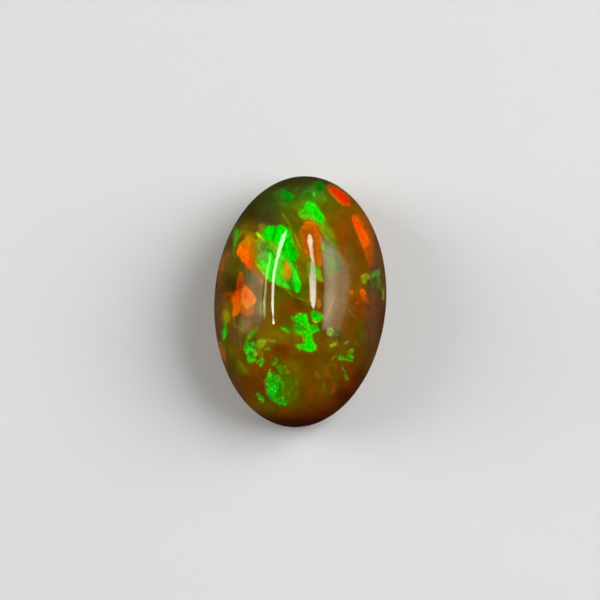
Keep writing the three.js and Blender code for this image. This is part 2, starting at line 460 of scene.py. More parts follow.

# Sheets of play-of-colour, which give off their hue as a painted glow in place of the light they would
# reflect: kind, hue, depth under the surface, brightness, and the outline in pixels. Two numbers a point make
# a flat patch with those corners, and three a ribbon along the points with those half widths. A hue may turn
# to another, from a patch's first corner on or along the ribbon.
sheets = [
    ("glow", "jade", 0.9, 0.22, [(277, 193.5, 4), (283.5, 200.5, 6), (291, 203, 5)]),
    ("blaze", "jade", 0.3, 0.44, [(281, 190), (284, 188.5), (288, 190.5), (292, 193.5), (295.5, 196.5),
        (294, 200), (289.5, 202), (284, 200), (280.5, 195.5)]),
    ("blaze", "jade to fern", 0.25, 0.54, [(237, 228), (239.5, 230), (239, 236), (237.5, 241),
        (236, 245.5), (234, 247.5), (233, 244), (234, 238), (235, 232)]),
    ("thread", "lime", 0.2, 0.30, [(234, 248, 0.7), (233.6, 255.5, 0.5)]),
    ("mellow", "green", 0.6, 0.42, [(264, 228), (275, 225), (290, 228), (293, 240), (299, 253),
        (296, 262), (301, 285), (297, 292), (289, 289), (280, 286), (268, 280), (256, 263), (258, 256),
        (268, 250), (270, 243), (263, 238)]),
    ("blaze", "green", 0.35, 0.84, [(264.5, 228.5), (268, 226), (273, 226), (275, 229), (274.5, 234),
        (272.8, 238), (272.5, 243.5), (269.5, 242.5), (266, 239.5), (262.6, 237.4), (260.4, 234.2),
        (263.6, 231.5)]),
    ("blaze", "green", 0.42, 0.96, [(276, 226.8), (279, 224.8), (284, 226.2), (289, 229), (290, 233),
        (288.5, 237.5), (286, 240), (283.5, 245), (279.5, 249.5), (276.8, 247.5), (274, 243.5),
        (273.8, 238), (275.5, 232)]),
    ("blaze", "green", 0.38, 0.66, [(289, 237.5), (291.5, 240), (293, 245), (293, 249.5), (296, 251),
        (299, 253), (298, 257), (295.5, 261), (291, 262), (287.5, 260), (284, 256.5), (282.5, 252.5),
        (284, 247), (286, 242)]),
    ("blaze", "green", 0.28, 0.90, [(286.6, 243, 1.2), (286.8, 247, 1.5), (287.6, 252, 1.3),
        (289.5, 257, 1.0)]),
    ("crumb", "grass", 0.3, 0.72, [(287.5, 229.5), (290.5, 229), (291.8, 236), (293.6, 243), (292.8, 248),
        (291, 242), (289.5, 236)]),
    ("blaze", "lime", 0.22, 0.94, [(257.9, 233.2, 1.5), (259.8, 236.2, 1.6), (264, 240, 0.8)]),
    ("glow", "pearl", 0.5, 0.30, [(262, 226, 2.6), (262.5, 230.5, 3)]),
    ("blaze", "lime", 0.35, 0.50, [(255, 239.5), (259, 239.5), (263, 241), (261, 245), (259.5, 250),
        (257, 250.5), (255, 247), (254.5, 243)]),
    ("mellow", "fern", 0.4, 0.60, [(262.5, 238.5), (267.5, 239.5), (272, 246), (271.5, 251.5), (266, 249),
        (263, 244)]),
    ("glow", "pearl to mist", 0.5, 0.62, [(258, 243), (264, 242.5), (270, 244), (273, 249), (271, 253),
        (266, 252), (262, 254), (258.5, 256), (257, 250)]),
    ("mellow", "pearl to mint", 0.45, 0.68, [(262, 251.5), (267.5, 252), (268.5, 259), (267, 265),
        (260, 265), (256.5, 260), (257.5, 254.5)]),
    ("blaze", "spring", 0.4, 0.84, [(255.6, 258), (260, 259.5), (265, 260.5), (268.5, 264), (268.5, 272),
        (268, 278.5), (264.5, 275), (261, 271), (257.5, 266.5), (255.5, 262)]),
    ("blaze", "lime", 0.25, 0.72, [(255.6, 261.5, 0.9), (258.8, 266.8, 1.3), (262.6, 271.2, 1.4),
        (266.6, 277, 1.0)]),
    ("blaze", "mint", 0.26, 1.00, [(267.3, 253), (270, 251), (272.5, 254), (272.8, 259), (271, 264),
        (268.5, 264.5), (267, 259)]),
    ("blaze", "grass", 0.46, 0.80, [(270, 262), (273, 254), (276, 252), (276.5, 262), (275, 270),
        (274.5, 277), (273.5, 282), (270, 281), (268, 279), (269, 270)]),
    ("thread", "mint", 0.22, 1.15, [(269.6, 263, 1.0), (268.8, 268, 1.0), (268.2, 273, 1.1),
        (267.4, 278.5, 1.0)]),
    ("blaze", "spring", 0.38, 0.84, [(277.5, 262), (280.5, 258), (283, 260), (284, 266), (283.5, 272),
        (284.5, 278), (286.5, 283), (289, 288.5), (284, 287), (280, 285.5), (276, 284), (275, 280),
        (275.8, 270)]),
    ("mellow", "lime to spring", 0.36, 0.66, [(269, 242), (275, 242.5), (279, 247), (279, 253),
        (276, 258), (272.5, 253), (270.5, 247)]),
    ("blaze", "spring", 0.44, 0.84, [(279, 250), (283, 252), (285.5, 257), (289, 261), (285, 262.5),
        (281, 261), (278, 258)]),
    ("blaze", "fern", 0.28, 0.86, [(280.5, 264), (283.5, 265), (283.8, 274), (281, 277), (279, 271)]),
    ("mellow", "gold", 0.28, 0.72, [(284.6, 261), (288.6, 260.5), (291.4, 265), (293, 270),
        (292.4, 275.5), (289.6, 279.5), (286, 280), (283.6, 275), (283, 268)]),
    ("thread", "lime", 0.22, 0.90, [(283.6, 270, 0.7), (284, 275, 0.9), (286.5, 279.5, 0.8)]),
    ("blaze", "spring to green", 0.3, 0.92, [(288.5, 260.5), (291, 263), (294, 267.5), (297, 272),
        (299, 277), (300.5, 283), (301, 288), (299.5, 292), (297, 292.5), (294.5, 289), (293, 284),
        (292.5, 279), (292.3, 273), (290.5, 267)]),
    ("thread", "mint", 0.2, 0.90, [(288.6, 260.8, 0.7), (291.2, 266, 0.8), (293.5, 272, 0.8),
        (295.5, 279, 0.6)]),
    ("glow", "fern", 0.9, 0.26, [(302, 206, 7), (312, 210, 8), (322, 222, 6), (331, 238, 5)]),
    ("blaze", "green", 0.28, 0.86, [(305, 204), (309.5, 200.5), (312.5, 202.5), (316, 205), (319, 209),
        (322, 213), (324.5, 217), (325, 221), (322.5, 224), (318, 223), (313.5, 219), (310, 214),
        (306, 211), (303.5, 207.5)]),
    ("blaze", "fern to grass", 0.36, 0.70, [(298.5, 211.5), (302, 208), (306, 206.5), (311, 210),
        (313.5, 214), (310, 218.5), (305, 220), (300.5, 217.5), (298.3, 214.5)]),
    ("mellow", "lime to olive", 0.5, 0.66, [(303.5, 217.5), (308.5, 214.5), (313, 215), (319, 221),
        (324, 222.5), (328.5, 228), (332.5, 235), (336.5, 241), (340, 247), (337, 249), (331.5, 244.5),
        (326, 239.5), (321, 233), (316.5, 225.5), (311, 220.5)]),
    ("glow", "green", 0.3, 0.24, [(316.5, 180.5), (322, 181), (326, 186), (324, 193), (319, 200.5),
        (311, 203), (303, 202), (299.5, 197.5), (302.5, 191), (309, 187)]),
    ("mellow", "green", 0.2, 0.24, [(316, 181.6), (320.5, 181.8), (324.6, 184.6), (325, 189),
        (321, 191.6), (316.6, 190), (315.2, 185.6)]),
    ("crumb", "green", 0.2, 0.66, [(312, 192), (315.6, 192), (315.6, 196.2), (312, 196.2)]),
    ("glow", "fern", 0.7, 0.22, [(318.5, 196, 3), (323, 198.5, 4)]),
    ("blaze", "scarlet", 0.16, 0.88, [(326.6, 185.4), (330, 185), (335, 187), (340, 189.8), (345, 193.6),
        (348.4, 197.6), (350.4, 201.4), (349.6, 204.4), (346, 205), (342, 202.8), (338.6, 199),
        (334.4, 194.6), (329.6, 189.6)]),
    ("blaze", "flame", 0.3, 0.85, [(328.4, 190, 0.8), (333, 194.8, 1.4), (338.6, 200, 1.9),
        (344.6, 203.8, 2)]),
    ("blaze", "vermilion to flame", 0.25, 0.95, [(351.6, 216), (355, 215), (358.4, 219.4), (362.4, 225.6),
        (366.2, 231.8), (368.6, 237.4), (369, 243), (367.6, 247.4), (364.6, 248.2), (361.8, 246),
        (360, 240.6), (357.2, 233.6), (354, 226), (352, 220)]),
    ("glow", "amber", 0.5, 0.28, [(357, 214, 2), (362.5, 224, 4), (370, 236, 4.5), (371.5, 250, 4),
        (371, 262, 3.6)]),
    ("blaze", "flame to amber", 0.35, 0.56, [(364, 249), (369, 248), (372, 252), (373, 258), (372, 264),
        (370.5, 268), (368.5, 264), (367, 258), (364.5, 253)]),
    ("glow", "tangerine", 0.6, 0.30, [(302.5, 229.5, 3), (308.5, 225, 5), (315.5, 229, 4),
        (317.5, 243, 4), (318.5, 262, 3)]),
    ("mellow", "tangerine", 0.46, 0.50, [(301, 227), (318, 226), (321.5, 236), (322, 250), (320.5, 264),
        (315, 266), (310.5, 256), (306, 254.5), (303.5, 246), (301.5, 236)]),
    ("blaze", "tangerine", 0.4, 0.72, [(302, 224.5), (305, 221), (309, 220.3), (313, 222.3), (317, 226.3),
        (319.5, 231), (317, 232), (313, 230.8), (309, 229.5), (305, 229.8), (302, 229.5)]),
    ("mellow", "tangerine", 0.42, 0.64, [(313.5, 231), (318, 229.5), (321.5, 236), (322.5, 246),
        (322, 257), (322, 265), (320, 270), (317, 267), (315.6, 260), (315, 250), (314.4, 240)]),
    ("mellow", "amber to tangerine", 0.42, 0.68, [(300.6, 229), (303.5, 229.5), (306, 233), (307.5, 240),
        (308.5, 247), (308, 253.5), (305.5, 253), (304, 246), (302.5, 238), (300.8, 233)]),
    ("mellow", "fern", 0.3, 0.62, [(322.9, 244.6, 1.5), (323.3, 249.6, 1.6)]),
    ("blaze", "tangerine to vermilion", 0.3, 1.00, [(246.5, 239), (249.5, 240), (251.3, 243),
        (251.8, 248), (251, 254), (252.7, 260), (252, 266), (250, 269.5), (247.5, 268), (244.5, 263),
        (240.5, 258.5), (237, 254.5), (236.4, 251), (238.5, 247), (241, 243), (243.5, 240.5)]),
    ("mellow", "gold to tangerine", 0.22, 0.78, [(244.5, 239.5), (247, 237.5), (250, 238.5), (251.4, 243),
        (249.5, 248), (246, 248.5), (242.5, 245.5)]),
    ("mellow", "gold to tangerine", 0.36, 0.60, [(246, 235.5), (250.5, 235), (254, 239), (256, 247),
        (257, 256), (258, 264), (256, 269), (250, 268), (248, 258), (247, 247)]),
    ("glow", "ochre", 0.6, 0.34, [(247, 233, 3), (251, 236, 4)]),
    ("glow", "rose", 0.5, 0.55, [(250, 268), (257, 267.5), (262, 273.5), (266, 280), (262, 284),
        (255.5, 277)]),
    ("glow", "lime to ochre", 0.5, 0.75, [(255.6, 249, 1.8), (256, 255, 1.8)]),
    ("glow", "rose", 0.5, 0.46, [(225.6, 252, 2.9), (223.6, 259.9, 3.2), (222.4, 268, 3)]),
    ("blaze", "flame to tangerine", 0.38, 0.86, [(244, 284), (246.5, 285), (248.5, 288), (252, 291.5),
        (255, 296), (256, 300), (254.5, 304), (251, 307), (247.5, 309), (244, 308), (241, 305.5),
        (240, 298), (241, 291), (242.5, 287)]),
    ("glow", "vermilion", 0.5, 0.46, [(241, 306), (247, 308.5), (253, 306), (254, 312), (249, 317),
        (243.5, 317), (241, 311)]),
    ("crumb", "amber", 0.25, 0.70, [(240.4, 304.6), (243, 305), (244.6, 308), (241, 308.6)]),
    ("mellow", "ash", 0.3, 0.42, [(259.5, 303), (264, 300.5), (264.8, 308), (262.6, 316.5), (259, 313)]),
    ("blaze", "tangerine to vermilion", 0.3, 0.50, [(239, 271.5), (242.8, 272), (243.8, 280),
        (242.3, 288), (237.5, 290.5), (236.2, 285), (237.2, 279)]),
    ("blaze", "vermilion to tangerine", 0.26, 0.76, [(238.5, 288.5), (241, 290), (240.8, 298),
        (240.6, 307), (239.6, 313), (236, 316), (232.6, 317), (232.4, 312), (233.8, 305), (232, 300),
        (232.4, 296), (234, 292)]),
    ("blaze", "amber", 0.35, 0.36, [(222.6, 294.8, 0.8), (228, 294.2, 1.4), (233.5, 294, 2.0)]),
    ("crumb", "jade to green", 0.22, 0.62, [(224.5, 322), (227.3, 328), (226.5, 333), (224.5, 338.5),
        (222.3, 341), (222.0, 336), (222.8, 329)]),
    ("glow", "olive", 0.5, 0.60, [(225.5, 312, 2.5), (226.5, 320, 3.4)]),
    ("blaze", "olive to fern", 0.3, 0.60, [(258.6, 327.2, 1.2), (253.6, 331.2, 3), (250.6, 335.4, 3),
        (248.4, 338.6, 1.2)]),
    ("crumb", "green", 0.2, 0.78, [(293.5, 317.2), (296, 315.3), (299, 313.8), (303, 313), (307, 313.5),
        (308.5, 317), (308, 322), (309, 324), (305, 325.5), (300, 324.5), (295.5, 323.5), (295.2, 320)]),
    ("crumb", "green", 0.22, 0.46, [(288, 315.8), (290.5, 317), (295, 316), (295, 319.8), (291, 319.4)]),
    ("blaze", "green", 0.2, 0.66, [(311.5, 311.5), (314, 310.2), (317, 312), (322.8, 314.4),
        (323.6, 316.8), (320.4, 320.6), (316, 321.2), (312.4, 320.6), (311, 316)]),
    ("crumb", "lime", 0.15, 0.80, [(312, 320.6), (315, 320.4), (319, 321), (316.8, 322.8), (313.6, 322)]),
    ("crumb", "grass", 0.2, 0.56, [(281, 325.8), (285, 327), (288.5, 329), (291.5, 330.2), (290.5, 332.9),
        (286, 331.9), (283, 330.2)]),
    ("blaze", "jade", 0.3, 0.52, [(293, 324.5), (300, 325), (305, 326), (304, 330.5), (298, 331),
        (294, 329.5)]),
    ("crumb", "green", 0.22, 0.76, [(304, 322), (308, 323.3), (311, 326), (312.2, 330), (311.5, 334.5),
        (307.5, 334), (305.8, 329), (303, 326.3)]),
    ("crumb", "green", 0.26, 0.58, [(311.5, 325), (316.5, 324), (318.3, 327.5), (319.6, 330.8),
        (316.5, 332.2), (313, 333.2), (311.6, 330)]),
    ("blaze", "green", 0.24, 0.80, [(294.6, 329.3), (298, 331), (303, 331), (306, 329.5), (308.5, 333),
        (305, 335.3), (300, 334.3), (296, 332.8)]),
    ("blaze", "green", 0.24, 0.88, [(304, 333), (311.6, 333), (311.6, 338), (313.5, 342), (316.2, 346),
        (315.6, 350), (313, 352.2), (306, 351), (301, 349.6), (296, 347.2), (298, 345), (303, 344.5),
        (305, 341), (304.5, 337)]),
    ("crumb", "fern", 0.2, 0.60, [(304, 334, 0.6), (304.2, 340, 0.9), (302, 344.2, 0.8),
        (296, 345, 0.8)]),
    ("blaze", "tangerine", 0.25, 0.50, [(317, 299), (319, 298), (320.6, 302), (320.6, 306.5), (319, 308),
        (317.5, 305)]),
    ("mellow", "grass to lime", 0.3, 0.58, [(313, 265), (317, 266.5), (320.4, 271), (322.2, 276),
        (323.4, 281.5), (318.5, 281), (315.4, 277), (313.8, 271)]),
    ("mellow", "lime", 0.4, 0.34, [(307.5, 262), (312, 261), (313, 270), (311.5, 279), (308, 277)]),
    ("dim", "ochre to fern", 0.55, 0.40, [(325, 241), (330, 240), (335.5, 248), (340, 257), (341.5, 266),
        (338.5, 271.5), (330, 271), (325.5, 256)]),
    ("dim", "lime", 0.42, 0.26, [(326, 247), (331, 248), (336, 259), (334, 268), (330, 279), (326, 270)]),
    ("crumb", "lime", 0.25, 0.30, [(327.5, 261.5), (330.5, 258), (333, 261.5), (335.5, 265), (334, 269.5),
        (331.5, 272), (330, 267)]),
    ("crumb", "lime", 0.25, 0.38, [(361.5, 275.5), (365, 273.5), (369.5, 274), (371, 277), (368, 280),
        (364, 283.5), (361.5, 281.5), (360.5, 278)]),
    ("crumb", "sage", 0.25, 0.60, [(379.5, 270), (380.8, 273), (379, 276.8), (375, 276.2), (371.5, 277),
        (372, 273), (375.5, 270.5)]),
    ("blaze", "sage", 0.35, 0.40, [(370.5, 277), (372, 277), (374, 283), (374, 288), (371.5, 288.4),
        (370.5, 282)]),
    ("blaze", "sage", 0.35, 0.42, [(376.5, 277), (379.5, 277), (380.8, 283), (379.8, 288), (377, 287.6),
        (376.5, 282)]),
    ("blaze", "olive", 0.2, 1.00, [(382.9, 288, 0.8), (383.4, 293, 1.2), (383.2, 299, 0.8)]),
    ("glow", "amber", 0.45, 0.12, [(354, 290), (360, 287), (366, 291), (371, 303), (364, 307),
        (354.5, 305)]),
    ("crumb", "flame", 0.22, 0.80, [(359.3, 289.5), (362.6, 288.3), (364.8, 291.5), (365.4, 295),
        (361.8, 296), (358.6, 293)]),
    ("mellow", "flame to amber", 0.26, 0.62, [(363, 294), (366.6, 297), (370, 304.6), (366.6, 303.4),
        (362.6, 298.6)]),
    ("crumb", "vermilion", 0.22, 0.46, [(355.3, 298.6), (358, 300), (361.2, 304), (358.5, 304.8),
        (355.3, 303.5)]),
    ("mellow", "tangerine", 0.3, 0.55, [(349.4, 291), (351.5, 290.2), (353.8, 293), (351.5, 294.4)]),
    ("mellow", "fern", 0.4, 0.30, [(246, 341), (254, 341), (257, 350), (256, 361), (248, 361),
        (244.5, 350)]),
    ("scaly", "grass", 0.2, 0.62, [(246, 341.5), (248.6, 343.5), (249.6, 348), (250.2, 352),
        (248.5, 354.5), (246.5, 353), (244.3, 349), (244.6, 345)]),
    ("scaly", "mint to fern", 0.2, 0.66, [(251, 341.6), (253.6, 342.3), (255.3, 346), (253.4, 347.6),
        (255.8, 350), (256.4, 354.5), (254, 357), (251.5, 354.4), (250.4, 350), (251.5, 346.4)]),
    ("scaly", "grass", 0.2, 0.58, [(246.6, 354.6), (249.5, 356.8), (253, 358.2), (256.4, 359.4),
        (254.6, 361.8), (250, 361.9), (246.8, 359.6)]),
    ("glow", "olive", 0.4, 0.50, [(249.5, 346, 3), (251, 355, 3)]),
    ("mellow", "fern to lime", 0.3, 0.52, [(255.6, 344.4), (258.5, 340.3), (262, 339.3), (266.4, 340.6),
        (265.2, 344.6), (261, 347.6), (257.5, 347.3)]),
    ("scaly", "grass", 0.2, 0.42, [(255.8, 361.2), (259, 360), (261, 357.2), (263.2, 357.2), (264, 361),
        (262.6, 365.3), (260.6, 365.8), (258.3, 363.3)]),
    ("thread", "olive", 0.2, 0.90, [(262.6, 352, 0.8), (262.4, 357, 0.9)]),
    ("glow", "ochre", 0.4, 0.20, [(258, 349, 2.5), (259.5, 355, 3)]),
    ("crumb", "mist", 0.15, 0.40, [(268.9, 338.9), (271.6, 338.2), (275.2, 340.6), (274, 342.8),
        (271.2, 342)]),
    ("crumb", "fern", 0.2, 0.40, [(265.8, 348.5), (268.5, 347.3), (271.8, 348), (269, 351.3)]),
    ("mellow", "green", 0.42, 0.30, [(269, 371), (280, 376), (282, 386), (279, 397), (287, 402),
        (280, 404), (268, 397), (265.5, 383)]),
    ("scaly", "fern to grass", 0.2, 0.62, [(270.2, 370.2), (272, 373), (272.3, 377), (271.2, 380.4),
        (269.8, 383.4), (268.2, 386.2), (265.8, 384.6), (264.7, 380), (265.6, 377.2), (268, 374)]),
    ("scaly", "fern to green", 0.22, 0.50, [(281.8, 378.3), (279.2, 381.2), (278.6, 384.2), (275, 383),
        (272.4, 381.8), (272.4, 378), (275, 375.8), (280, 376)]),
    ("scaly", "grass", 0.24, 0.70, [(268.3, 385.5), (272, 381.5), (276, 382.5), (279.3, 384),
        (278.8, 389), (277.2, 393), (276.6, 398), (272.5, 397.4), (269, 397), (267.2, 394),
        (266.4, 388)]),
    ("scaly", "grass", 0.2, 0.44, [(267.6, 396), (272, 397.3), (277, 398.3), (281, 398.3), (282, 396.2),
        (284.5, 395.8), (285.7, 399.5), (288.3, 401.5), (287.6, 405.6), (284.5, 406.2), (280, 404.8),
        (275.5, 401.4), (270.5, 399.2)]),
    ("crumb", "pearl", 0.12, 0.24, [(265.2, 379, 0.5), (265.7, 386, 0.7), (266.4, 393, 0.7),
        (269, 397.4, 0.6)]),
    ("glow", "sage", 0.45, 0.42, [(281.5, 378.5), (285.8, 381), (286.5, 385), (284, 390.5), (281, 391.5),
        (280, 386)]),
    ("dim", "olive", 0.7, 0.80, [(285, 376, 4), (288.5, 383, 6.4), (290, 392, 6.4), (286, 399, 4)]),
    ("scaly", "grass", 0.2, 0.46, [(256.2, 393.3), (259.6, 393.6), (262.2, 396.5), (264.4, 399.5),
        (262.6, 401.8), (259.4, 399.8), (257.3, 397)]),
    ("scaly", "fern", 0.25, 0.44, [(279.6, 355.4), (278, 358.6), (277.4, 362), (277.6, 365.2),
        (274.6, 366.6), (272.8, 363.6), (273, 359.6), (275.6, 357)]),
    ("mellow", "fern", 0.35, 0.38, [(275.6, 365.6), (279.5, 364.5), (283.8, 366), (283.8, 369.8),
        (281, 372.4), (277.6, 370.2)]),
    ("crumb", "ochre", 0.3, 0.46, [(284.5, 366.8, 0.9), (288.2, 366.9, 1.1)]),
    ("crumb", "ochre", 0.3, 0.52, [(286.6, 370.8, 1.1), (289, 373.2, 1.3)]),
    ("crumb", "lime", 0.2, 0.44, [(329.3, 348), (330.2, 345.2), (333, 342.8), (336.6, 342),
        (337.4, 344.6), (333.5, 346.5)]),
    ("thread", "pearl", 0.12, 0.85, [(344.4, 343.6, 0.3), (346.6, 342.2, 0.6), (348.2, 341.2, 0.5)]),
    ("glow", "fern", 0.35, 0.16, [(353, 340), (357, 338), (358.4, 342), (355.5, 346.5), (353, 344)]),
    ("crumb", "sage", 0.25, 0.30, [(360, 335.6, 0.8), (362.2, 334.6, 0.8)]),
    ("scaly", "grass", 0.2, 0.48, [(337.8, 356.5), (341, 355.3), (344.2, 357), (344.8, 359), (342, 360.8),
        (338.8, 359.7)]),
    ("scaly", "green to fern", 0.2, 0.44, [(344.3, 357.5), (348, 357), (349, 353.5), (350, 350.3),
        (352, 349), (353.8, 350.8), (352.2, 355.5), (352.8, 362), (349, 361), (345.3, 360.2)]),
    ("crumb", "pearl", 0.14, 0.50, [(351.6, 349.8, 0.4), (352.8, 351.8, 0.6)]),
    ("crumb", "pearl", 0.2, 0.40, [(342.8, 368.4, 0.7), (344, 369.6, 0.9)]),
    ("crumb", "olive to fern", 0.2, 0.52, [(343.6, 369.5), (345.4, 370.6), (346.4, 373.6), (348.9, 376.8),
        (348.2, 380), (345.4, 380), (343.9, 376)]),
    ("crumb", "pearl to mist", 0.25, 0.64, [(327.6, 327.8), (331, 327.6), (333.2, 330.5), (333.2, 336),
        (328.3, 336), (326.7, 332)]),
    ("crumb", "mist", 0.3, 0.36, [(333, 332), (338.7, 333), (338.2, 336.2), (333, 336)]),
    ("crumb", "rose", 0.18, 0.78, [(219.6, 343, 1.2), (221.8, 350.6, 2.2), (223.8, 356.5, 2.0),
        (225.4, 361, 1.0)]),
    ("glow", "sage", 0.4, 0.24, [(238, 361.5, 1.2), (241, 366, 2.4), (244.5, 370.5, 2.4),
        (246.5, 373, 1.5)]),
    ("glow", "amber", 0.6, 0.10, [(328, 371.5, 2.6), (328.6, 376, 2.8)]),
    ("glow", "amber", 0.5, 0.18, [(334.2, 385, 1.6), (332.4, 392, 2.2)]),
    ("glow", "olive", 0.5, 0.26, [(324.4, 384.6, 1.8), (324, 388.6, 1.8)]),
    ("glow", "ochre", 0.6, 0.26, [(316.8, 373.4, 2), (318, 376.4, 2)]),
]

# Thin healed cracks that catch the light, drawn as glowing threads: painted glints. Brightness, half width,
# and the line as pixels.
cracks = [
    (0.50, 0.7, [(282.7, 214.3), (289.6, 224.6), (294.2, 233.3), (297.7, 243.0), (301.1, 249.3)]),
    (0.80, 0.3, [(275.9, 285.1), (283.9, 288.0), (289.6, 292.6), (294.2, 296.6), (305.0, 300.0),
        (310.0, 303.0)]),
    (0.50, 0.5, [(234.0, 317.3), (234.5, 325.9), (239.7, 327.6), (247.1, 334.0)]),
    (0.32, 0.6, [(239.7, 319.0), (240.0, 333.0), (240.3, 347.0)]),
    (0.30, 0.5, [(247.1, 265.6), (246.6, 276.0), (245.4, 285.7)]),
    (0.22, 0.4, [(227.6, 269.6), (235.5, 270.4), (243.7, 270.2)]),
    (0.40, 0.5, [(276.5, 324.0), (280.0, 327.5), (283.5, 330.0)]),
    (0.60, 0.5, [(296.0, 346.0), (298.4, 348.6), (300.4, 351.4)]),
    (0.90, 0.5, [(291.4, 328.8), (293.4, 332.4), (295.9, 336.8)]),
    (0.46, 0.4, [(348.4, 309.8), (352.4, 314.4), (355.8, 316.1), (359.9, 320.7), (363.9, 327.6),
        (366.8, 333.3)]),
    (0.52, 0.6, [(334.6, 297.2), (329.4, 308.7), (326.0, 319.0)]),
    (0.26, 0.5, [(278.0, 342.7), (284.5, 342.6), (291.4, 345.0)]),
    (0.60, 0.6, [(331.7, 359.4), (334.4, 356.4), (336.9, 355.4)]),
    (0.35, 0.6, [(238.0, 360.5), (239.7, 364.6), (243.1, 368.0), (246.3, 370.3)]),
    (0.70, 0.6, [(283.9, 274.2), (289.0, 281.1), (292.5, 287.4)]),
    (0.35, 0.5, [(247.1, 225.8), (241.4, 231.5), (239.1, 237.3)]),
    (0.28, 0.4, [(336.0, 362.0), (335.5, 370.0), (336.0, 378.0)]),
]


body = {
    "coat": 0.02,  # weight of the even coat of honey under the clouds
    "wash": 2.6,  # the body's colour against what the eye sees, because most of it is glass
    "paintedGlow": 0.22,  # how much of its own colour the milky body gives off, as a painted glow
    "halo": 3.0,  # how far a sheet's painted light reaches over the stone above it, in pixels
    "tint": 0.92,  # how much of the sheet's light is painted into the body's colour
    "paintedSheetLight": 0.5,  # the brightness of that painted light on the body, against the sheet's own
    "spill": 0.07,  # how much of the sheet's light the body gives off as a painted glow
    "paintedSheetLightFrom": 0.3,  # the height at which the sheets' painted light begins on the wall
    "paintedSheetLightOver": 1.0,  # and the way up from there to where it is full
}


def cloudColour(x, y):
    # Every cloud weighs in by a bell curve of its distance, over a thin even coat of honey.
    total = np.full(x.shape, body["coat"])
    colour = body["coat"] * linear(paints["honey"]) * np.ones((*x.shape, 3))
    for paint, middle, reach, weight in clouds:
        far = ((x - middle[0]) / reach[0]) ** 2 + ((y - middle[1]) / reach[1]) ** 2
        share = weight * np.exp(-far / 2)
        total = total + share
        colour = colour + share[..., None] * linear(paints[paint])
    return colour / total[..., None]


# What each hue gives off as a painted glow in its middle and along its fringe, as linear light.
hues = {
    "green": ((0.0, 1.0, 0.0), (0.08, 0.50, 0.01)),
    "grass": ((0.06, 1.0, 0.02), (0.12, 0.50, 0.02)),
    "spring": ((0.15, 1.0, 0.05), (0.22, 0.62, 0.02)),
    "mint": ((0.12, 1.0, 0.08), (0.12, 0.52, 0.03)),
    "jade": ((0.0, 0.80, 0.02), (0.03, 0.34, 0.02)),
    "mist": ((0.28, 0.72, 0.20), (0.20, 0.42, 0.07)),
    "sage": ((0.18, 0.62, 0.08), (0.16, 0.34, 0.03)),
    "ash": ((0.62, 0.66, 0.34), (0.32, 0.34, 0.14)),
    "fern": ((0.26, 0.85, 0.02), (0.28, 0.42, 0.02)),
    "lime": ((0.70, 1.0, 0.05), (0.32, 0.55, 0.02)),
    "olive": ((0.22, 0.36, 0.0), (0.18, 0.22, 0.0)),
    "ochre": ((0.50, 0.42, 0.03), (0.30, 0.22, 0.015)),
    "gold": ((0.90, 0.62, 0.0), (0.60, 0.28, 0.0)),
    "tangerine": ((1.0, 0.34, 0.0), (0.60, 0.20, 0.0)),
    "amber": ((0.80, 0.20, 0.0), (0.46, 0.13, 0.0)),
    "flame": ((1.0, 0.22, 0.0), (0.60, 0.15, 0.0)),
    "vermilion": ((1.0, 0.12, 0.0), (0.60, 0.12, 0.0)),
    "scarlet": ((1.0, 0.045, 0.0), (0.75, 0.13, 0.0)),
    "rose": ((0.60, 0.18, 0.05), (0.34, 0.12, 0.02)),
    "pearl": ((0.60, 0.80, 0.24), (0.26, 0.42, 0.05)),
    "thread": ((0.50, 0.46, 0.08), (0.26, 0.22, 0.02)),
}


def nearestStretch(x, y, start, end):
    # How far each pixel lies from a straight stretch, and how far along it the nearest place is, from 0 to 1.
    run = np.subtract(end[:2], start[:2])
    t = np.clip(((x - start[0]) * run[0] + (y - start[1]) * run[1]) / max(run @ run, 1e-9), 0, 1)
    return np.hypot(x - start[0] - t * run[0], y - start[1] - t * run[1]), t


def insideOutline(x, y, outline):
    # How far each pixel lies inside a ribbon or patch: the ribbon's half width less the way to its nearest
    # stretch, or the way to the patch's nearest side. A pixel is in a patch when a line from it to the right
    # crosses an odd number of sides, and the way counts as negative elsewhere.
    if len(outline[0]) == 3:
        best = np.full(x.shape, -1e9)
        for start, end in zip(outline[:-1], outline[1:]):
            gap, t = nearestStretch(x, y, start, end)
            best = np.maximum(best, start[2] + t * (end[2] - start[2]) - gap)
        return best
    near = np.full(x.shape, 1e9)
    within = np.zeros(x.shape, bool)
    for start, end in zip(outline, outline[1:] + outline[:1]):
        near = np.minimum(near, nearestStretch(x, y, start, end)[0])
        spans = (start[1] > y) != (end[1] > y)
        rise = (end[1] - start[1]) or 1.0
        within ^= spans & (x < start[0] + (y - start[1]) * (end[0] - start[0]) / rise)
    return np.where(within, near, -near)


def mixedHue(hue, part, turned):
    # A hue's middle or fringe colour. It may turn to another as turned goes from 0 to 1.
    ends = hue.split(" to ")
    return (1 - turned) * np.array(hues[ends[0]][part]) + turned * np.array(hues[ends[-1]][part])


def patchSpine(corners):
    # The straight ribbon that covers a patch. It runs along the line between the two corners that are
    # farthest apart, and starts at the end where the first corner is.
    points = np.array(corners, float)
    gaps = np.linalg.norm(points[:, None] - points, axis=-1)
    start, end = points[list(np.unravel_index(gaps.argmax(), gaps.shape))]
    if np.linalg.norm(points[0] - end) < np.linalg.norm(points[0] - start):
        start, end = end, start
    along = (end - start) / np.linalg.norm(end - start)
    across = np.array([-along[1], along[0]])
    s, t = (points - start) @ along, (points - start) @ across
    middle = start + across * (t.max() + t.min()) / 2
    reach = (t.max() - t.min()) / 2
    return [[*(middle + along * s.min()), reach], [*(middle + along * s.max()), reach]]


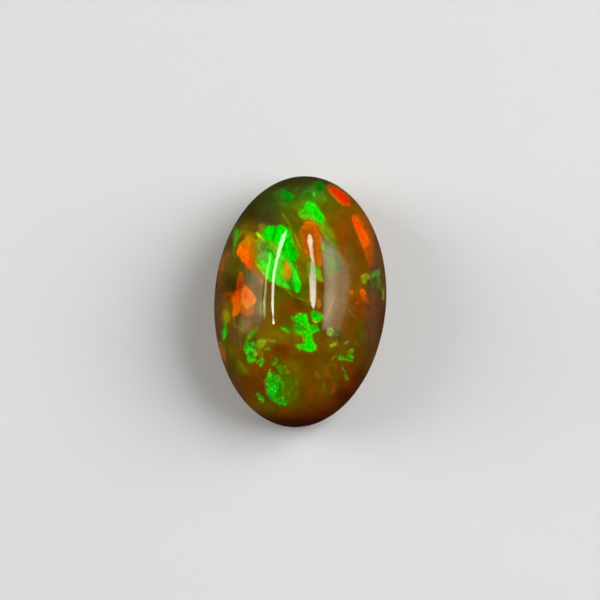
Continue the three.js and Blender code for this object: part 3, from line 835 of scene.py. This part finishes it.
def stoneColours(points):
    # What the body's surface scatters and gives off: the clouds, with the light of the sheets close below
    # painted over them, as a tint in what it scatters and a painted glow in what it gives off. That painted
    # light fades on an
    # S-shaped curve across each outline, and a glow is too deep to leave any.
    x, y = pixelOf(points)
    clear = cloudColour(x, y)
    colour = clear * body["wash"]
    # The body's painted glow: a share of its own colour given off as emission.
    paintedGlow = clear * body["paintedGlow"]
    over = np.clip((points[:, 2] - body["paintedSheetLightFrom"]) / body["paintedSheetLightOver"], 0, 1)
    for kind, hue, _, bright, outline in sheets:
        if kind == "glow":
            continue
        inside = insideOutline(x, y, outline)
        share = body["tint"] * over * np.clip(0.5 + inside / (2 * body["halo"]), 0, 1)
        share = (share * share * (3 - 2 * share))[:, None]
        spine = np.array(outline if len(outline[0]) == 3 else patchSpine(outline), float)
        run = spine[-1, :2] - spine[0, :2]
        turned = np.clip(((x - spine[0, 0]) * run[0] + (y - spine[0, 1]) * run[1]) / (run @ run), 0, 1)
        lit = mixedHue(hue, 0, turned[:, None]) * bright
        # The sheet's light, painted into the body's colour and into its painted glow.
        colour = colour * (1 - share) + lit * body["paintedSheetLight"] * share
        paintedGlow = paintedGlow * (1 - share) + lit * body["spill"] * share
    return colour, paintedGlow


stoneBody, stonePaintedGlow = stoneColours(stonePoints)
addColours(opalStone, "body", stoneBody)
addColours(opalStone, "paintedGlow", stonePaintedGlow)
print("body colours:", len(clouds), "clouds")

sheetForm = {
    "seed": 11,
    "alongStep": 1.0,  # pixels between steps along a sheet
    "acrossStep": 1.5,
    "fewest": (8, 9),  # steps along and across the smallest sheet
    "spread": 1.3,  # how far a sheet goes past its outline, in raggednesses of its kind
    "spare": 0.3,  # and pixels more
    "tip": 0.4,  # a ribbon's half width past its ends, as a share of that at them
    "smoothing": 7,  # steps over which a spine's direction is averaged
    "thickness": 0.05,
    "swell": 0.98,  # at 1, the two faces would meet at the edges
    "endRun": 1.5,  # pixels over which a sheet's ends grow to their thickness
    "endLeast": 0.2,  # the share of it that they start with
    "lean": 0.2,  # the steepest that a sheet is tipped, across it
    "leanShare": 0.5,  # and the share of its depth that the tipping may take up
    "skin": 0.012,  # how near the surface a sheet may come, as a share of the outline
    "innermost": 0.2,  # points nearer the middle line than this share are drawn in as if they lay there
    "floor": 0.12,  # how near the base a sheet may come
    "floorRise": 0.02,  # and how much of their height the points keep there
    "grainShift": 50,  # each sheet's grain starts at a random place up to this far off
    "crackDepth": 0.10,
}


def sheetGrid(random, outline, depth, kind):
    # A thin lens-shaped profile carried along a sheet's spine and past its ends by a margin: two faces that
    # nearly meet at the edges. Gives places in pixels, depths, and how far along and across the spine each
    # point lies.
    margin = kind["soft"] / 2 + kind["ragged"] * sheetForm["spread"] + sheetForm["spare"]
    ribbon = len(outline[0]) == 3
    nodes = np.array(outline if ribbon else patchSpine(outline), float)
    first, last = nodes[0].copy(), nodes[-1].copy()
    for end, inner in ((first, nodes[1]), (last, nodes[-2])):
        run = end[:2] - inner[:2]
        end[:2] += run * (margin + end[2] * ribbon) / np.hypot(*run)
        end[2] *= sheetForm["tip"] if ribbon else 1.0
    nodes = np.vstack([first, nodes, last])
    travel = np.concatenate([[0], np.cumsum(np.hypot(*np.diff(nodes[:, :2], axis=0).T))])
    s = np.linspace(0, travel[-1], max(sheetForm["fewest"][0], int(travel[-1] / sheetForm["alongStep"])))
    x, y, reach = (np.interp(s, travel, nodes[:, k]) for k in range(3))
    kernel = np.ones(sheetForm["smoothing"]) / sheetForm["smoothing"]
    dx, dy = (np.convolve(np.pad(np.gradient(k), len(kernel) // 2, "edge"), kernel, "valid") for k in (x, y))
    size = np.hypot(dx, dy)
    m = max(sheetForm["fewest"][1], 2 * math.ceil((reach.max() + margin) / sheetForm["acrossStep"]) + 1)
    v = np.linspace(-1, 1, m)
    loop = np.concatenate([v, v[-2:0:-1]])
    under = np.concatenate([np.zeros(m), np.ones(m - 2)])
    across = (reach + margin)[:, None] * loop
    halfWidth = photoView["pixel"] * (reach.max() + margin)
    steepest = min(sheetForm["lean"], sheetForm["leanShare"] * depth / halfWidth)
    lean = random.uniform(-steepest, steepest) * across * photoView["pixel"]
    ends = np.clip(np.minimum(s, s[-1] - s) / sheetForm["endRun"], sheetForm["endLeast"], 1)[:, None]
    lens = np.sqrt(1 - sheetForm["swell"] * loop**2)
    deep = depth + lean + under * sheetForm["thickness"] * ends * lens
    gx = x[:, None] - across * (dy / size)[:, None]
    gy = y[:, None] + across * (dx / size)[:, None]
    return gx, gy, deep, s[:, None] + 0 * across, across


def sheetFaces(rows, ring, start):
    # Quads between the rings that the profile makes, and strips of quads that close its two ends.
    m = ring // 2 + 1
    i = np.arange(ring)
    j = (i + 1) % ring
    k = np.arange(rows - 1)[:, None] * ring
    walls = np.stack([k + i, k + j, k + ring + j, k + ring + i], -1).reshape(-1, 4).tolist()
    a = np.arange(1, m - 2)
    lids = np.stack([a, ring - a, ring - a - 1, a + 1], -1)
    first = [[0, ring - 1, 1]] + lids.tolist() + [[m - 2, m, m - 1]]
    last = [[(rows - 1) * ring + q for q in reversed(face)] for face in first]
    return [[start + q for q in face] for face in walls + first + last]


def keepInside(points):
    # Draws points that come too near the surface in towards the stone's upright middle line, or up from its
    # base.
    over = np.maximum(outside(points) + sheetForm["skin"], 0)
    share = np.hypot(points[:, 0] / stone["halfWidth"], points[:, 1] / stone["halfLength"])
    points[:, :2] *= (1 - over / np.maximum(share, sheetForm["innermost"]))[:, None]
    points[:, 2] = np.maximum(points[:, 2], sheetForm["floor"] + sheetForm["floorRise"] * points[:, 2])
    return points


def addNumbers(piece, name, numbers):
    # One number a point.
    layer = piece.data.attributes.new(name, "FLOAT", "POINT")
    layer.data.foreach_set("value", numbers.astype(np.float32))


def makeSheets(name, items, place, seed):
    # One closed sheet for every item, all in one mesh. place turns pixels and depths into points in the
    # stone.
    random = np.random.default_rng(seed)
    settings = ("soft", "ragged", "facet", "veil")
    built = {key: [] for key in ("x", "y", "deep", "core", "fringe", "inside", "grain", *settings)}
    faces = []
    start = 0
    for kindName, hue, depth, bright, outline in items:
        kind = sheetKinds[kindName]
        gx, gy, deep, along, across = sheetGrid(random, outline, depth, kind)
        turned = (along / along.max()).ravel()[:, None]
        for part, key in enumerate(("core", "fringe")):
            built[key].append(bright * mixedHue(hue, part, turned))
        for key, values in (("x", gx), ("y", gy), ("deep", deep)):
            built[key].append(values.ravel())
        built["inside"].append(insideOutline(gx.ravel(), gy.ravel(), outline))
        for key in settings:
            built[key].append(np.full(gx.size, kind[key]))
        grain = np.stack([along.ravel() * kind["grain"][0], across.ravel() * kind["grain"][1]], -1)
        built["grain"].append(grain + random.uniform(0, sheetForm["grainShift"], 2))
        faces += sheetFaces(*gx.shape, start)
        start += gx.size
    whole = {key: np.concatenate(values) for key, values in built.items()}
    points = keepInside(place(whole["x"], whole["y"], whole["deep"]))
    piece = addMesh(name, points, faces)
    addColours(piece, "core", whole["core"])
    addColours(piece, "fringe", whole["fringe"])
    for key in ("inside", *settings):
        addNumbers(piece, key, whole[key])
    layer = piece.data.uv_layers.new(name="grain")
    corner = np.zeros(len(piece.data.loops), np.int32)
    piece.data.loops.foreach_get("vertex_index", corner)
    layer.data.foreach_set("uv", whole["grain"][corner].astype(np.float32).ravel())
    print(name + ":", len(items), "sheets,", sum(len(face) - 2 for face in faces), "triangles")
    return piece


# The cracks' painted glints, made as thin glowing sheets.
threads = [("thread", "thread", sheetForm["crackDepth"], bright, [(*point, reach) for point in line])
           for bright, reach, line in cracks]
colourSheets = makeSheets("play_of_colour", sheets + threads, underPixel, sheetForm["seed"])

sideSheets = {
    "seed": 5,
    "count": 22,
    "kinds": ["crumb", "dim", "mellow", "scaly", "glow"],
    "front": (-142, -38),  # the turns between which the photograph shows none
    "room": 23,  # how far up the wall they reach at the sides, in the photograph's pixels
    "swing": 17,  # and how much farther at the back, which the photograph looks away from
    "reach": (0.06, 0.26),  # half width, as a share of that
    "taper": (0.6, 0.4),  # the half widths at a ribbon's ends, as shares of that at its middle
    "spare": 2,  # how far above the base's edge a ribbon stays
    "edgeArc": 1.25,  # the edge's way up the wall, in millimetres
    "domeArc": 7.0,
    "long": (2, 16),
    "tilt": 1.4,
    "depth": (0.15, 0.8),
    "bright": (0.25, 0.8),
    "hues": ["green", "jade", "fern", "green", "amber", "flame", "olive", "vermilion", "sage", "lime"],
}


def onWall(x, y, depth):
    # The point at a depth under the wall. x goes round the stone in degrees, and y up its wall from the
    # base's edge in the photograph's pixels.
    crown = sideSheets["edgeArc"] + sideSheets["domeArc"]
    level = np.interp(y * photoView["pixel"], [0, sideSheets["edgeArc"], crown], [1, 2, 3])
    points = stonePoint(np.radians(x), level)
    return points - outward(points) * depth[:, None]


def scatterSides():
    # Small ribbons, each bent at its middle and kept within the room there is, along the wall near the base
    # where the photograph doesn't look.
    random = np.random.default_rng(sideSheets["seed"])
    items = []
    low, high = sideSheets["front"]
    spare = sideSheets["spare"]
    for _ in range(sideSheets["count"]):
        x = random.uniform(high, low + 360)
        room = sideSheets["room"] + sideSheets["swing"] * math.sin(math.radians(x))
        reach = random.uniform(*sideSheets["reach"]) * room
        y = random.uniform(reach + spare, room - reach)
        run = random.uniform(*sideSheets["long"])
        rise = random.uniform(-sideSheets["tilt"], sideSheets["tilt"]) * run
        first, last = (reach * share for share in sideSheets["taper"])
        line = [(x, y, first), (x + run / 2, y + rise / 2, reach), (x + run, y + rise, last)]
        line = [(along, min(max(up, half + spare), room - half), half) for along, up, half in line]
        hue = sideSheets["hues"][random.integers(len(sideSheets["hues"]))]
        kind = sideSheets["kinds"][random.integers(len(sideSheets["kinds"]))]
        depth = random.uniform(*sideSheets["depth"])
        items.append((kind, hue, depth, random.uniform(*sideSheets["bright"]), line))
    return items


wallSheets = makeSheets("side_colour", scatterSides(), onWall, sideSheets["seed"])

glass = {
    "tint": (0.80, 0.68, 0.16),  # what the stone lets through
    "density": 700.0,  # per metre
    "clear": 0.74,  # the share that is see-through
    "cloudy": {"Scale": 1700.0, "Detail": 6.0, "Roughness": 0.68},  # milkiness that dims and lightens
    "cloudyStops": [(0.3, 0.68), (0.7, 1.32)],
    "veined": {"Scale": 2300.0, "Detail": 3.0, "Distortion": 1.5},  # and a shift from green to red
    "veinedStops": [(0.35, (0.86, 1.10, 0.9)), (0.5, (1.0, 1.0, 1.0)), (0.66, (1.14, 0.90, 1.1))],
    "waves": {"Scale": 800.0, "Detail": 1.5},
    "waveHeight": 0.000004,
    "ground": 0.00008,  # how far up the edge the ground base's matt finish reaches
    "groundFull": 8,  # it is full up to that height divided by this
    "matt": 0.42,
    "polish": 0.02,
}


def multiplied(wire, first, second):
    # One colour times another, or times a grey.
    return wire.node("ShaderNodeMix", {"data_type": "RGBA", "blend_type": "MULTIPLY"},
                     {"Factor": 1.0, 6: first, 7: second}, output=2)


def opalMaterial():
    # A clear tinted body that scatters one of the points' colours and faintly gives off the other as a
    # painted glow, both times two noises. Its polish turns matt towards the base.
    material, shader, wire = newMaterial("opal_body", {
        "IOR": stone["refraction"],
        "Transmission Weight": glass["clear"],
        "Emission Strength": 1.0,
    })
    place = wire.node("ShaderNodeTexCoord", output="Object")
    cloudy = wire.node("ShaderNodeTexNoise", None, {"Vector": place, **glass["cloudy"]})
    veined = wire.node("ShaderNodeTexNoise", None, {"Vector": place, **glass["veined"]})
    level = wire.node("ShaderNodeValToRGB", {"stops": glass["cloudyStops"]}, {"Fac": cloudy})
    shift = wire.node("ShaderNodeValToRGB", {"stops": glass["veinedStops"]}, {"Fac": veined})
    for name, socket in (("body", "Base Color"), ("paintedGlow", "Emission Color")):
        shade = wire.node("ShaderNodeVertexColor", {"layer_name": name})
        multiplied(wire, multiplied(wire, shade, level), shift).into(shader, socket)
    height = wire.node("ShaderNodeSeparateXYZ", None, {"Vector": place}, output=2)
    ground = wire.node("ShaderNodeMapRange", None, {
        "Value": height,
        "From Min": glass["ground"] / glass["groundFull"],
        "From Max": glass["ground"],
        "To Min": glass["matt"],
        "To Max": glass["polish"],
    })
    ground.into(shader, "Roughness")
    wave = wire.node("ShaderNodeTexNoise", None, {"Vector": place, **glass["waves"]})
    bump = wire.node("ShaderNodeBump", None, {"Height": wave, "Distance": glass["waveHeight"]})
    bump.into(shader, "Normal")
    absorb = material.node_tree.nodes.new("ShaderNodeVolumeAbsorption")
    absorb.inputs["Color"].default_value = (*glass["tint"], 1)
    absorb.inputs["Density"].default_value = glass["density"]
    output = material.node_tree.nodes["Material Output"]
    material.node_tree.links.new(absorb.outputs[0], output.inputs["Volume"])
    return material


flash = {
    "base": (0.01, 0.012, 0.002),
    "roughness": 0.5,
    "strength": 1.9,
    "warpScale": 1.3,
    "warp": (0.9, 0.9, 0.0),  # how far a noise bends the grains, in grains
    "seam": 0.14,  # half width of the seams, in grains
    "grain": {"Scale": 2.2, "Detail": 2.0, "Roughness": 0.6},
    "spot": {"Scale": 4.2, "Detail": 1.0, "Distortion": 0.6},
    "wander": (1.3, 1.7),  # how far the grains and their noise move the edge, in raggednesses
    "fringeAt": 0.60,
    "fringeRun": 2.4,  # pixels from the fringe's colour to the middle's
    "fringeShift": 0.6,  # how much that differs from grain to grain
    "level": 0.90,  # the mean brightness
    "contrast": (0.5, 2.4, 2.2, 0.25),  # how much the grains, their noise, the spots and the seams change it
    "darkest": 0.2,
    "paleTimes": (0.9, 0.9, 0.9),  # a pale fleck is the hue times this
    "palePlus": (0.13, 0.12, 0.06),  # and with this added
    "fleckAt": 0.60,  # how bright a spot has to be to show as a fleck
    "fleckRun": 0.07,
}


def sheetMaterial():
    # Each sheet is broken into grains of uneven brightness with dimmer seams between them, and flecked with
    # paler spots. Its edge wanders with the grains, and it fades there from its own hue through its fringe's
    # to nothing. Its colour is given off as emission over a near-black base: a painted glow in place of the
    # play-of-colour light that the sheet would reflect.
    material, shader, wire = newMaterial("play_of_colour", {
        "Base Color": (*flash["base"], 1),
        "Roughness": flash["roughness"],
        "Specular IOR Level": 0.0,
        "Emission Strength": flash["strength"],
    })
    core = wire.node("ShaderNodeVertexColor", {"layer_name": "core"})
    fringe = wire.node("ShaderNodeVertexColor", {"layer_name": "fringe"})
    inside, soft, ragged, facet, veil = (wire.node("ShaderNodeAttribute", {"attribute_name": name}, output=2)
                                         for name in ("inside", "soft", "ragged", "facet", "veil"))
    flat = {"noise_dimensions": "2D"}
    place = wire.node("ShaderNodeUVMap", {"uv_map": "grain"})
    warp = wire.node("ShaderNodeTexNoise", flat, {"Vector": place, "Scale": flash["warpScale"]}, output=1)
    bent = wire.node("ShaderNodeVectorMath", {"operation": "MULTIPLY_ADD"},
                     {0: warp, 1: flash["warp"], 2: place})
    cells = {"Vector": bent, "Scale": 1.0}
    cellColour = wire.node("ShaderNodeTexVoronoi", {"voronoi_dimensions": "2D"}, cells, output=1)
    cell = wire.node("ShaderNodeSeparateColor", None, {"Color": cellColour})
    edges = {"voronoi_dimensions": "2D", "feature": "DISTANCE_TO_EDGE"}
    rim = wire.node("ShaderNodeTexVoronoi", edges, cells)
    seam = 1.0 - (rim / flash["seam"]).clamp()
    grain = wire.node("ShaderNodeTexNoise", flat, {"Vector": place, **flash["grain"]})
    spot = wire.node("ShaderNodeTexNoise", flat, {"Vector": place, **flash["spot"]})
    byCell, byGrain = flash["wander"]
    inward = inside + ragged * ((cell - 0.5) * byCell + (grain - 0.5) * byGrain)
    mask = (inward / soft + 0.5).clamp()
    (mask * mask * (3 - 2 * mask) * veil).into(shader, "Alpha")
    outer = (flash["fringeAt"] - inward / flash["fringeRun"] + (cell - 0.5) * flash["fringeShift"]).clamp()
    hue = wire.node("ShaderNodeMix", {"data_type": "RGBA"}, {"Factor": outer, 6: core, 7: fringe}, output=2)
    byCell, byGrain, bySpot, bySeam = flash["contrast"]
    rough = (cell - 0.5) * byCell + (grain - 0.5) * byGrain + (spot - 0.5) * bySpot - seam * bySeam
    level = wire.maths("MAXIMUM", flash["level"] + facet * rough, flash["darkest"])
    pale = wire.node("ShaderNodeVectorMath", {"operation": "MULTIPLY_ADD"},
                     {0: hue, 1: flash["paleTimes"], 2: flash["palePlus"]})
    fleck = ((spot - flash["fleckAt"]) / flash["fleckRun"]).clamp() * facet * facet
    freckled = wire.node("ShaderNodeMix", {"data_type": "RGBA"}, {"Factor": fleck, 6: hue, 7: pale}, output=2)
    multiplied(wire, freckled, level).into(shader, "Emission Color")
    return material


opalStone.data.materials.append(opalMaterial())
flashMaterial = sheetMaterial()
colourSheets.data.materials.append(flashMaterial)
wallSheets.data.materials.append(flashMaterial)
for piece in (opalStone, colourSheets, wallSheets):
    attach(piece, "root")
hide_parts(stoneNode)
print("materials: opal_body, play_of_colour")

studio = {
    "floorSize": 3000.0,
    "floorGap": 0.02,
    "floorTone": (0.78, 0.78, 0.77),
    "floorRoughness": 0.9,
    "floorShine": 0.2,
    "lampDistance": 420.0,
    "roomTone": (0.95, 0.97, 1.0),
    "roomDark": 0.015,  # the room's brightness where the polish mirrors it
    "roomFill": 0.15,  # how much more of it matt surfaces get
    "roomSeen": 0.75,  # and how much more the camera sees
}


def makeFloor():
    # A plain pale sheet just under the base.
    side = studio["floorSize"] / 2
    corners = np.array([[-side, -side], [side, -side], [side, side], [-side, side]])
    floor = addMesh("floor", np.hstack([corners, np.full((4, 1), -studio["floorGap"])]), [[0, 1, 2, 3]])
    material, _, _ = newMaterial("floor_paper", {
        "Base Color": (*studio["floorTone"], 1),
        "Roughness": studio["floorRoughness"],
        "Specular IOR Level": studio["floorShine"],
    })
    floor.data.materials.append(material)
    floor.visible_glossy = False


makeFloor()
print("floor:", round(studio["floorSize"] * mm, 1), "m wide")


def makeLamp(name, place, across, upward, radiance, colour=(1.0, 1.0, 1.0)):
    # An area light of the size of its two edges, across and upward, whose face is turned to the stone. Its
    # watts are pi times its area times its brightness.
    data = bpy.data.lights.new(name, "AREA")
    data.shape = "RECTANGLE"
    data.size, data.size_y = np.linalg.norm(across) * mm, np.linalg.norm(upward) * mm
    data.energy = radiance * math.pi * data.size * data.size_y
    data.color = colour
    lamp = bpy.data.objects.new(name, data)
    bpy.context.scene.collection.objects.link(lamp)
    right = Vector(across).normalized()
    up = (Vector(upward) - right * Vector(upward).dot(right)).normalized()
    lamp.location = (Vector(place) + Vector((0, 0, stone["height"] / 2))) * mm
    lamp.rotation_euler = Matrix((right, up, right.cross(up))).transposed().to_euler()
    lamp.visible_camera = False
    return lamp


def makeSoftbox(name, azimuth, elevation, size, radiance):
    # Lights the matt surfaces, and isn't mirrored in the polish.
    across = towards(azimuth + 90, 0) * size[0]
    upward = np.cross(towards(azimuth, elevation), towards(azimuth + 90, 0)) * size[1]
    lamp = makeLamp(name, towards(azimuth, elevation) * studio["lampDistance"], across, upward, radiance)
    lamp.visible_glossy = False


# Azimuth and elevation, width and height in millimetres, and brightness.
softboxes = {
    "softbox_right": (108, 38, (420, 300), 5.0),
    "softbox_left": (-96, 24, (260, 300), 4.4),
}
for name, place in softboxes.items():
    makeSoftbox(name, *place)

# Where each lamp's reflection lies in the polish: its lower left, lower right, upper right and upper left
# corners as pixels. The stops are shares of its width, or brightnesses, against the way up it or across it.
# window_low adds the lower corner of the left window.
highlights = {
    "tube_left": {
        "corners": [(268, 325), (279, 325), (292, 230), (281, 230)],
        "radiance": 26.0,
        "colour": (1.0, 1.0, 0.72),
        "middle": [(0.0, 0.44), (0.25, 0.35), (0.5, 0.32), (0.75, 0.46), (1.0, 0.60)],
        "reach": [(0.0, 0.0), (0.03, 0.10), (0.09, 0.0), (0.13, 0.09), (0.4, 0.10), (0.65, 0.12),
                  (0.85, 0.18), (0.95, 0.10), (1.0, 0.0)],
        "bright": [(0.0, 1.25), (0.15, 1.1), (0.35, 0.9), (0.5, 0.72), (0.7, 0.66), (0.9, 0.72), (1.0, 0.5)],
    },
    "tube_right": {
        "corners": [(307, 309), (322, 309), (315.4, 235), (300.4, 235)],
        "radiance": 26.0,
        "colour": (1.0, 0.95, 0.76),
        "middle": [(0.0, 0.70), (0.1, 0.62), (0.4, 0.5), (0.6, 0.50), (0.8, 0.36), (1.0, 0.32)],
        "reach": [(0.0, 0.0), (0.04, 0.09), (0.12, 0.19), (0.4, 0.20), (0.5, 0.14), (0.6, 0.10), (0.78, 0.10),
                  (0.88, 0.16), (0.95, 0.10), (1.0, 0.0)],
        "bright": [(0.0, 0.9), (0.3, 0.72), (0.4, 0.54), (0.5, 0.34), (0.6, 0.46), (0.75, 0.62), (0.85, 0.85),
                   (1.0, 0.5)],
    },
    "slit_left": {
        "corners": [(262.8, 320), (267.4, 320), (272.8, 254), (268.2, 254)],
        "radiance": 9.6,
        "colour": (0.97, 1.0, 0.45),
        "middle": [(0.0, 0.5)],
        "reach": [(0.0, 0.0), (0.1, 0.22), (0.6, 0.22), (0.9, 0.15), (1.0, 0.0)],
        "bright": [(0.0, 0.6), (0.2, 1.0), (1.0, 0.8)],
    },
    "window_right": {
        "corners": [(321.6, 333), (341, 334), (354, 238), (318.2, 238)],
        "radiance": 6.6,
        "colour": (0.98, 0.95, 0.69),
        "across": [(0.0, 0.1), (0.05, 0.75), (0.13, 1.1), (0.21, 1.18), (0.34, 1.1), (0.42, 0.8), (0.5, 0.62),
                   (0.72, 0.45), (0.86, 0.28), (1.0, 0.0)],
        "upward": [(0.0, 0.0), (0.03, 0.0), (0.08, 0.55), (0.15, 0.72), (0.25, 0.88), (0.35, 1.0),
                   (0.45, 0.96), (0.53, 0.86), (0.62, 0.72), (0.7, 0.76), (0.82, 0.86), (0.88, 0.54),
                   (1.0, 0.35)],
        "slant": -0.09,
        "narrow": 0.29,
        "cut": 0.56,
    },
    "window_left": {
        "corners": [(237.4, 333), (262, 326), (267, 270), (250.5, 266)],
        "radiance": 3.6,
        "colour": (1.0, 0.95, 0.48),
        "across": [(0.0, 0.0), (0.05, 0.16), (0.2, 0.24), (0.3, 0.42), (0.42, 0.66), (0.52, 0.84),
                   (0.7, 0.92), (0.93, 0.92), (1.0, 0.0)],
        "upward": [(0.0, 0.0), (0.03, 0.1), (0.1, 0.5), (0.22, 0.72), (0.35, 0.9), (0.56, 0.9), (0.65, 1.0),
                   (0.74, 1.1), (0.82, 0.85), (0.92, 0.3), (1.0, 0.2)],
        "slant": 0.0,
        "narrow": 0.0,
        "cut": -0.1,
    },
    "window_low": {
        "corners": [(240.8, 334), (252, 331), (253, 313), (241.2, 311)],
        "radiance": 3.6,
        "colour": (1.0, 0.95, 0.48),
        "across": [(0.0, 0.4), (0.1, 1.0), (0.6, 0.9), (0.8, 0.5), (1.0, 0.0)],
        "upward": [(0.0, 0.1), (0.15, 0.4), (0.3, 0.58), (0.55, 0.55), (0.75, 0.2), (0.9, 0.1), (1.0, 0.0)],
        "slant": 0.0,
        "narrow": 0.0,
        "cut": -0.1,
    },
}


def mirrored(pixels):
    # The directions whose reflections show at some pixels: the camera's rays, thrown back by the surface.
    x, y = np.array(pixels, float).T
    surface, ray = meetSurface(x, y)
    normal = outward(surface)
    return ray - 2 * np.sum(ray * normal, -1, keepdims=True) * normal


unevenness = {
    "tubeScale": 34.0,
    "tubeDetail": 3.0,
    "tubeReach": (0.6, 0.8),  # how wide a tube is at its thinnest, and how much more at its thickest
    "tubeSoft": 0.06,
    "windowScale": 3.0,
    "windowShift": 0.06,
    "windowLevel": (0.75, 0.5),
    "cutFrom": 0.2,  # where across a window the cut begins at its top
    "cutSoft": 0.1,
}


def makeHighlight(name, look):
    # The rectangle that fits its corners' directions best. A tube is lit to either side of a middle line. A
    # window's brightness follows the stops across and up it: it narrows downward, its lower edge slants, and
    # a corner is cut off its top, on the right or, where the cut is negative, on the left. Noise makes both a
    # little uneven.
    corners = mirrored(look["corners"]) * studio["lampDistance"]
    across = (corners[1] - corners[0] + corners[2] - corners[3]) / 2
    upward = (corners[3] - corners[0] + corners[2] - corners[1]) / 2
    lamp = makeLamp(name, corners.mean(0), across, upward, look["radiance"], look["colour"])
    lamp.visible_diffuse = False
    lamp.visible_transmission = False
    lamp.data.use_nodes = True
    tree = lamp.data.node_tree
    wire = Wire(tree, None)
    place = wire.node("ShaderNodeNewGeometry", output="Parametric")
    u = wire.node("ShaderNodeSeparateXYZ", None, {"Vector": place}, output=0)
    v = wire.node("ShaderNodeSeparateXYZ", None, {"Vector": place}, output=1)
    if "reach" in look:
        along = {"W": v * unevenness["tubeScale"], "Detail": unevenness["tubeDetail"]}
        rough = wire.node("ShaderNodeTexNoise", {"noise_dimensions": "1D"}, along)
        middle, reach, level = (wire.node("ShaderNodeValToRGB", {"stops": look[key]}, {"Fac": v})
                                for key in ("middle", "reach", "bright"))
        gap = wire.maths("ABSOLUTE", u - middle)
        least, more = unevenness["tubeReach"]
        bright = level * ((reach * (least + rough * more) - gap) / unevenness["tubeSoft"] + 0.5).clamp()
    else:
        rough = wire.node("ShaderNodeTexNoise", {"noise_dimensions": "2D"},
                          {"Vector": place, "Scale": unevenness["windowScale"]})
        spread = u * (1.0 + (1.0 - v) * look["narrow"]) + (rough - 0.5) * unevenness["windowShift"]
        side = wire.node("ShaderNodeValToRGB", {"stops": look["across"]}, {"Fac": spread})
        slanted = v + (u - 0.5) * look["slant"]
        rise = wire.node("ShaderNodeValToRGB", {"stops": look["upward"]}, {"Fac": slanted})
        inward = u if look["cut"] > 0 else 1.0 - u
        cut = (inward - unevenness["cutFrom"]) * abs(look["cut"])
        corner = ((1.0 - v - cut) / unevenness["cutSoft"]).clamp()
        least, more = unevenness["windowLevel"]
        bright = side * rise * corner * (least + rough * more)
    bright.into(tree.nodes["Emission"], "Strength")


for name, look in highlights.items():
    makeHighlight(name, look)
print("lamps:", len(highlights) + len(softboxes))


def lightWorld():
    # The camera sees a pale room and matt surfaces a dim one, and the polish mirrors little but the lamps.
    world = bpy.data.worlds.new("studio")
    bpy.context.scene.world = world
    world.use_nodes = True
    background = world.node_tree.nodes["Background"]
    background.inputs["Color"].default_value = (*studio["roomTone"], 1)
    wire = Wire(world.node_tree, None)
    seen = wire.node("ShaderNodeLightPath", output="Is Camera Ray")
    matt = wire.node("ShaderNodeLightPath", output="Is Diffuse Ray")
    bright = studio["roomDark"] + seen * studio["roomSeen"] + matt * studio["roomFill"]
    bright.into(background, "Strength")
    bpy.context.scene.view_settings.view_transform = "Standard"


lightWorld()
